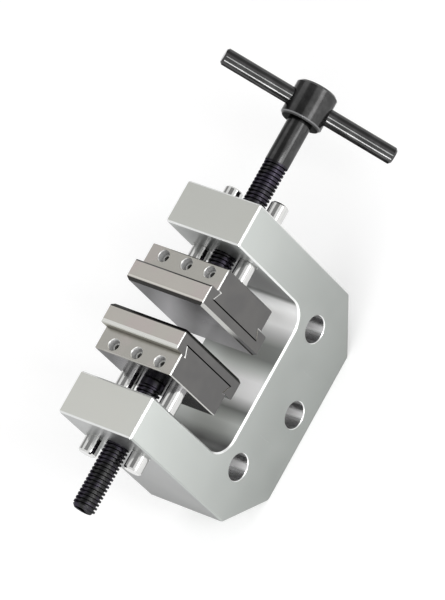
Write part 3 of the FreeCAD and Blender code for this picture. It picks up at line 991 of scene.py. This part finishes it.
@dataclass
class ThreadForm:
    """A trapezoidal screw thread, in metres."""

    major: float = 12.0 * MM
    pitch: float = 2.0 * MM
    depth: float = 1.15 * MM
    crest: float = 0.36
    flank: float = 0.15
    steps: int = 40

    def rod(self, name: str, start: float, end: float) -> bpy.types.Object:
        """A threaded rod on the X axis, cut square at both ends.

        Args:
            name: the piece's name.
            start: where it starts along X.
            end: where it ends along X.

        Returns:
            The rod, closed at both ends.
        """
        Shop.clear()
        bpy.ops.mesh.primitive_grid_add(x_subdivisions=5, y_subdivisions=1, size=2.0)
        rod = bpy.context.object
        rod.name = name
        bpy.ops.object.mode_set(mode="EDIT")
        bpy.ops.mesh.select_all(action="DESELECT")
        sheet = bmesh.from_edit_mesh(rod.data)
        for vertex in sheet.verts:
            vertex.select = vertex.co.y > 0
        bmesh.update_edit_mesh(rod.data)
        bpy.ops.mesh.delete(type="VERT")
        self._shape_tooth(rod)
        bpy.ops.object.mode_set(mode="OBJECT")
        turns = math.ceil((end - start) / self.pitch) + 3
        Shop.apply(
            rod,
            "SCREW",
            axis="X",
            angle=2 * math.pi,
            screw_offset=self.pitch,
            iterations=turns,
            steps=self.steps,
            render_steps=self.steps,
            use_smooth_shade=False,
        )
        Shop.pick(rod)
        rod.location.x = start - 1.5 * self.pitch
        bpy.ops.object.transform_apply(location=True, rotation=True, scale=True)
        bpy.ops.object.mode_set(mode="EDIT")
        bpy.ops.mesh.select_all(action="SELECT")
        bpy.ops.mesh.remove_doubles(threshold=1e-6)
        for place, keep_above in ((start, True), (end, False)):
            bpy.ops.mesh.select_all(action="SELECT")
            bpy.ops.mesh.bisect(
                plane_co=(place, 0, 0),
                plane_no=(1, 0, 0),
                use_fill=True,
                clear_inner=keep_above,
                clear_outer=not keep_above,
            )
        bpy.ops.mesh.select_all(action="SELECT")
        bpy.ops.mesh.normals_make_consistent(inside=False)
        bpy.ops.object.mode_set(mode="OBJECT")
        return rod

    def _shape_tooth(self, rod: bpy.types.Object) -> None:
        """Puts the row of vertices in edit mode onto one tooth's outline, from root to root.

        Args:
            rod: the row of six vertices, in edit mode.
        """
        root = self.major / 2 - self.depth
        half_root = (1 - self.crest - 2 * self.flank) / 2
        outline = [
            (0.0, root),
            (half_root, root),
            (half_root + self.flank, self.major / 2),
            (1 - half_root - self.flank, self.major / 2),
            (1 - half_root, root),
            (1.0, root),
        ]
        sheet = bmesh.from_edit_mesh(rod.data)
        row = sorted(sheet.verts, key=lambda vertex: vertex.co.x)
        for vertex, (share, radius) in zip(row, outline):
            vertex.co = Vector((share * self.pitch, 0, radius))
        bmesh.update_edit_mesh(rod.data)


@dataclass
class ClampScrew:
    """One clamp screw with its thread, modelled along X from the jaw's gripping face outward."""

    side: Side
    opening: float
    thread_length: float
    plain_end: float
    shank_length: float = 0.0
    head_length: float = 0.0
    screw_height: float = 94.0 * MM
    shoulder: float = 22.8 * MM
    journal_diameter: float = 9.5 * MM
    journal_length: float = 11.5 * MM
    shank_diameter: float = 12.4 * MM
    head_diameter: float = 22.0 * MM
    head_bevel: float = 1.2 * MM
    bar_diameter: float = 9.0 * MM
    tip_chamfer: float = 1.5 * MM
    journal_bevel: float = 0.6 * MM
    collar_bevel: float = 0.3 * MM
    shank_bevel: float = 0.4 * MM
    overlap: float = 0.5 * MM
    bar_turn: float = math.radians(45)
    smooth_angle: float = math.radians(28)
    slot: str = "screw_black"
    thread: ThreadForm = field(default_factory=ThreadForm)

    @property
    def node(self) -> str:
        """The CAD node that this screw stands for."""
        return f"{self.side.label}_clamp_screw"

    def build(self, material: bpy.types.Material) -> bpy.types.Object:
        """Models the screw, puts it in its place and dresses it.

        Args:
            material: its finish.

        Returns:
            The finished screw.
        """
        major = self.thread.major
        thread_start = self.shoulder + self.plain_end
        thread_end = self.shoulder + self.thread_length
        screw = self.thread.rod(f"{self.node}_threaded", thread_start, thread_end)
        if self.head_length == 0:
            tip_start = thread_start - 10 * MM
            tip = Shop.round_bar("tip", major + 0.02 * MM, tip_start, thread_end, self.tip_chamfer, 1)
            Shop.combine(screw, tip, "INTERSECT")
        inner_end = self.shoulder - self.journal_length
        outer_end = self.shoulder + self.overlap
        journal = Shop.round_bar("journal", self.journal_diameter, inner_end, outer_end, self.journal_bevel)
        Shop.combine(screw, journal, "UNION")
        collar_end = thread_start + 0.6 * self.thread.pitch
        collar = Shop.round_bar("collar", major, self.shoulder, collar_end, self.collar_bevel, 1)
        Shop.combine(screw, collar, "UNION")
        if self.head_length > 0:
            self._add_handle_end(screw, thread_end)
        self._place(screw)
        Shop.pick(screw)
        bpy.ops.object.shade_smooth_by_angle(angle=self.smooth_angle)
        screw.data.materials.clear()
        screw.data.materials.append(material)
        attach(screw, f"{self.side.label}_screw")
        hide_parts(self.node)
        LOG.info("%s: %d faces", screw.name, len(screw.data.polygons))
        return screw

    def _add_handle_end(self, screw: bpy.types.Object, thread_end: float) -> None:
        """Adds the plain shank and the cross-drilled head.

        Args:
            screw: the threaded rod.
            thread_end: where its thread ends.
        """
        head_start = thread_end + self.shank_length
        head_end = head_start + self.head_length
        shank_start = thread_end - self.overlap
        shank = Shop.round_bar("shank", self.shank_diameter, shank_start, head_start + MM, self.shank_bevel)
        Shop.combine(screw, shank, "UNION")
        head = Shop.round_bar("head", self.head_diameter, head_start, head_end, self.head_bevel, 1, 128)
        middle = (head_start + head_end) / 2
        drill = Shop.round_bar("drill", self.bar_diameter, -self.head_diameter, self.head_diameter)
        Shop.pick(drill)
        drill.rotation_mode = "ZYX"
        drill.rotation_euler = (self.bar_turn, 0, math.pi / 2)
        drill.location.x = middle
        bpy.ops.object.transform_apply(location=True, rotation=True, scale=True)
        Shop.combine(head, drill, "DIFFERENCE")
        Shop.combine(screw, head, "UNION")

    def _place(self, screw: bpy.types.Object) -> None:
        """Moves the screw from the jaw's own place into the frame, and turns it for the left side.

        Args:
            screw: the screw, modelled from the gripping face outward.
        """
        Shop.pick(screw)
        if self.side is Side.LEFT:
            screw.rotation_euler.z = math.pi
        screw.location = (self.side.value * self.opening, 0, self.screw_height)
        bpy.ops.object.transform_apply(location=True, rotation=True, scale=True)


@dataclass
class Studio:
    """The camera, the floor and the lights.

    A lamp of LAMP_POWER watts per square metre looks as bright as the white background.
    """

    LAMP_POWER: ClassVar[float] = 4.0
    WHITE: ClassVar[Colour] = (1.0, 1.0, 1.0)
    target: Vector = field(default_factory=lambda: Vector((0.02, 0.0, 0.07)))
    camera_place: Vector = field(default_factory=lambda: Vector((-0.56607, -1.69946, 2.21087)))
    camera_aim: Vector = field(default_factory=lambda: Vector((0.21186, 0.60921, -0.76419)))
    camera_up: Vector = field(default_factory=lambda: Vector((0.85267, 0.26688, 0.44915)))
    lens: float = 346.89
    sensor: float = 36.0
    floor_size: float = 12.0
    floor_albedo: float = 0.88
    floor_glow: float = 0.20
    sky_light: float = 0.80

    def set_camera(self) -> None:
        """Puts the camera where the photograph was taken from."""
        data = bpy.data.cameras.new("photo_camera")
        data.lens = self.lens
        data.sensor_width = self.sensor
        camera = bpy.data.objects.new("photo_camera", data)
        bpy.context.scene.collection.objects.link(camera)
        back = -self.camera_aim.normalized()
        right = self.camera_up.cross(back).normalized()
        up = back.cross(right)
        turn = Matrix((right, up, back)).transposed()
        camera.matrix_world = Matrix.Translation(self.camera_place) @ turn.to_4x4()
        bpy.context.scene.camera = camera

    def set_floor(self) -> None:
        """Lays the pale floor, which looks white and keeps the grip's shadow."""
        Shop.clear()
        bpy.ops.mesh.primitive_plane_add(size=self.floor_size, location=(0, 0, 0))
        floor = bpy.context.object
        floor.name = "studio_floor"
        board = Board.of_material("pale_floor")
        strength = self._seen(board) * self.floor_glow
        matt = board.node("ShaderNodeBsdfDiffuse", None, {"Color": (self.floor_albedo,) * 3})
        glow = board.node("ShaderNodeEmission", None, {"Color": self.WHITE, "Strength": strength})
        shaders = {0: Wire(board, matt.outputs[0]), 1: Wire(board, glow.outputs[0])}
        board.close(board.node("ShaderNodeAddShader", None, shaders))
        floor.data.materials.append(board.owner)

    @staticmethod
    def _seen(board: Board) -> Wire:
        """The mask of the rays that see a surface, but don't light another one by it.

        Args:
            board: the board of the surface's material, or the world's.

        Returns:
            1 for a ray from the camera, a mirror or glass, and 0 for any other.
        """
        outputs = board.node("ShaderNodeLightPath").outputs
        seen = Wire(board, outputs["Is Camera Ray"]).larger(Wire(board, outputs["Is Glossy Ray"]))
        return seen.larger(Wire(board, outputs["Is Transmission Ray"]))

    def set_sky(self) -> None:
        """Makes the world white where it is seen, and a plain soft light elsewhere."""
        world = bpy.data.worlds.new("studio_sky")
        bpy.context.scene.world = world
        board = Board(world)
        strength = self.sky_light + self._seen(board) * (1.0 - self.sky_light)
        sky = board.node("ShaderNodeBackground", None, {"Color": self.WHITE, "Strength": strength})
        board.close(sky, "ShaderNodeOutputWorld")

    def _face(
        self, thing: bpy.types.Object, direction: Sequence[float], distance: float, level: Sequence[float]
    ) -> None:
        """Stands a lamp or a card at a distance from the grip, facing it.

        Args:
            thing: the lamp or card.
            direction: from the grip towards it.
            distance: how far away it stands.
            level: the direction that its width runs in.
        """
        back = Vector(direction).normalized()
        across = Vector(level)
        across = (across - back * across.dot(back)).normalized()
        up = back.cross(across)
        turn = Matrix((across, up, back)).transposed()
        thing.matrix_world = Matrix.Translation(self.target + back * distance) @ turn.to_4x4()

    def add_lamp(
        self,
        name: str,
        direction: Sequence[float],
        distance: float,
        size: tuple[float, float],
        brightness: float,
        level: Sequence[float] = (1, 0, 0),
    ) -> None:
        """Adds a soft rectangular lamp.

        Args:
            name: its name.
            direction: from the grip towards it.
            distance: how far away it stands.
            size: its width and height.
            brightness: how bright it looks, where the background is 1.
            level: the direction that its width runs in.
        """
        data = bpy.data.lights.new(name, "AREA")
        data.shape = "RECTANGLE"
        data.size, data.size_y = size
        data.energy = brightness * self.LAMP_POWER * size[0] * size[1]
        lamp = bpy.data.objects.new(name, data)
        bpy.context.scene.collection.objects.link(lamp)
        self._face(lamp, direction, distance, level)

    def add_card(
        self,
        name: str,
        direction: Sequence[float],
        distance: float,
        size: tuple[float, float],
        brightness: float,
        level: Sequence[float] = (1, 0, 0),
    ) -> None:
        """Adds a plain card that only shows as a darker or brighter reflection in metal.

        Args:
            name: its name.
            direction: from the grip towards it.
            distance: how far away it stands.
            size: its width and height.
            brightness: how bright it looks, where the background is 1.
            level: the direction that its width runs in.
        """
        Shop.clear()
        bpy.ops.mesh.primitive_plane_add(size=1.0)
        card = bpy.context.object
        card.name = name
        card.scale = (size[0], size[1], 1.0)
        bpy.ops.object.transform_apply(location=False, rotation=False, scale=True)
        self._face(card, direction, distance, level)
        board = Board.of_material(name)
        board.close(board.node("ShaderNodeEmission", None, {"Color": self.WHITE, "Strength": brightness}))
        card.data.materials.append(board.owner)
        card.visible_camera = False
        card.visible_diffuse = False
        card.visible_shadow = False
        card.visible_transmission = False

    def build(self) -> None:
        """Sets up the camera, floor, sky, lamps and cards."""
        self.set_camera()
        self.set_floor()
        self.set_sky()
        self.add_lamp("front_softbox", (0.10, -0.93, 0.34), distance=1.6, size=(1.3, 0.52), brightness=2.2)
        self.add_lamp(
            "left_strip",
            (-0.86, -0.44, 0.28),
            distance=1.5,
            size=(0.9, 0.20),
            brightness=13.0,
            level=(0, 1, 0),
        )
        self.add_lamp("camera_strip", (-0.03, -0.78, 0.62), distance=1.6, size=(0.26, 0.48), brightness=6.0)
        self.add_card("camera_card", (0.12, -0.10, 0.99), distance=1.9, size=(2.4, 1.5), brightness=0.30)
        self.add_card("back_card", (0.40, 1.0, 0.46), distance=2.2, size=(3.2, 1.3), brightness=0.35)
        self.add_card("right_card", (0.86, -0.30, 0.42), distance=2.0, size=(1.4, 1.4), brightness=0.45)
        LOG.info("studio: camera, floor, sky, 3 lamps, 3 cards")


@dataclass
class TestGrip:
    """The whole grip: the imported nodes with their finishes, and the threaded screws."""

    frame: dict[str, Any]

    def dress(self, material: bpy.types.Material, names: Sequence[str]) -> None:
        """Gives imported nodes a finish.

        Args:
            material: the finish.
            names: the nodes' names.
        """
        for name in names:
            node = self.frame["nodes"][name]
            node.data.materials.clear()
            node.data.materials.append(material)
            LOG.info("%s: %s", name, material.name)

    def build(self) -> None:
        """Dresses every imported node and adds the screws."""
        jaw = GroundSteel().make()
        pins = PolishedChrome().make()
        black = BlackOxide("screw_black_oxide").make()
        bar = BlackOxide("bar_black_oxide", roughness=0.16, oil=0.85, oil_roughness=0.10).make()
        fittings = BrightFitting().make()
        # The detents get a lighter painted shade in the socket.
        bright = BrightFitting("bright_detent_steel", socket=(0.45, 0.45, 0.44)).make()
        rubber = Rubber().make()
        self.dress(BlastedAluminium().make(), ["c_frame"])
        for side in Side:
            label = side.label
            self.dress(jaw, [f"{label}_carrier", f"{label}_jaw_plate"])
            self.dress(pins, [f"{label}_guide_pin_{place}" for place in ("front", "back")])
            self.dress(fittings, [f"{label}_pin_screw_{place}" for place in ("front", "back")])
            self.dress(fittings, [f"{label}_screw_retainer"])
            self.dress(bright, [f"{label}_detent_sleeve", f"{label}_detent_plunger"])
            self.dress(rubber, [f"{label}_detent_cushion"])
        self.dress(bar, ["cross_bar"])
        self.dress(black, ["left_clamp_screw", "right_clamp_screw"])
        ClampScrew(
            Side.RIGHT,
            opening=7.2 * MM,
            thread_length=64.0 * MM,
            plain_end=1.0 * MM,
            shank_length=23.6 * MM,
            head_length=19.0 * MM,
        ).build(black)
        ClampScrew(Side.LEFT, opening=6.1 * MM, thread_length=71.5 * MM, plain_end=2.5 * MM).build(black)


def main() -> None:
    """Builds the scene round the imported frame."""
    logging.basicConfig(level=logging.INFO, format="%(name)s: %(message)s")
    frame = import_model()
    Studio().build()
    TestGrip(frame).build()
    Shop.clear()
    bpy.context.scene.view_settings.view_transform = "Standard"


if __name__ == "__main__":
    main()
